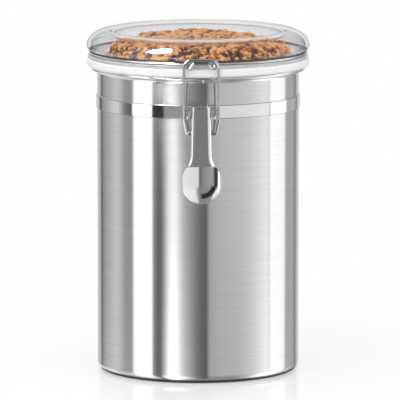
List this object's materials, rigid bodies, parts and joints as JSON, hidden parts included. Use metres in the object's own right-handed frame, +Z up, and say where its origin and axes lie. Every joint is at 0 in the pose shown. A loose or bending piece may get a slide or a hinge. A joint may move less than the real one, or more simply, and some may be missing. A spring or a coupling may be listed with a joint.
{
  "type": "clamp-lid storage jar",
  "caption": "Round steel storage jar with a clear hinged lid, a soft seal and a front wire clamp that pulls the lid down.",
  "frame": {"origin": "centre of the resting face under the jar, on the jar's axis", "axes": "+Z up along the jar's axis, -Y towards the front latch, +Y towards the rear hinge, +X to the right seen from the front"},
  "size_m": [0.1402, 0.1532, 0.2157],
  "materials": {
    "body_steel": "horizontal brushed",
    "band_steel": "polished",
    "bracket_steel": "polished",
    "pin_steel": "polished",
    "hinge_steel": "polished",
    "lid_acrylic": "clear polished",
    "gasket_silicone": "translucent satin",
    "ring_wire_steel": "polished",
    "lever_steel": "polished",
    "bail_wire_steel": "polished"
  },
  "bodies": {
    "canister": {"canister_shell": "body_steel", "neck_band": "band_steel", "latch_bracket": "bracket_steel", "lever_pin": "pin_steel", "hinge_bracket": "hinge_steel"},
    "lid": {"clear_lid": "lid_acrylic", "lid_gasket": "gasket_silicone", "lid_ring_wire": "ring_wire_steel"},
    "lever": {"latch_lever": "lever_steel"},
    "bail": {"bail_wire": "bail_wire_steel"}
  },
  "joints": [
    {"name": "lid_hinge", "type": "hinge", "parent": "canister", "child": "lid", "pos_m": [0, 0.0739, 0.1875], "axis": [-1, 0, 0], "range_deg": [0, 110]},
    {"name": "lever_pivot", "type": "hinge", "parent": "canister", "child": "lever", "pos_m": [0, -0.0694, 0.1725], "axis": [-1, 0, 0], "range_deg": [0, 120]},
    {"name": "bail_pivot", "type": "hinge", "parent": "lever", "child": "bail", "pos_m": [0, -0.0675, 0.1576], "axis": [1, 0, 0], "range_deg": [0, 144]}
  ],
  "couplings": [
    {"joint": "bail_pivot", "follows": "lever_pivot", "ratio": 1.2}
  ]
}
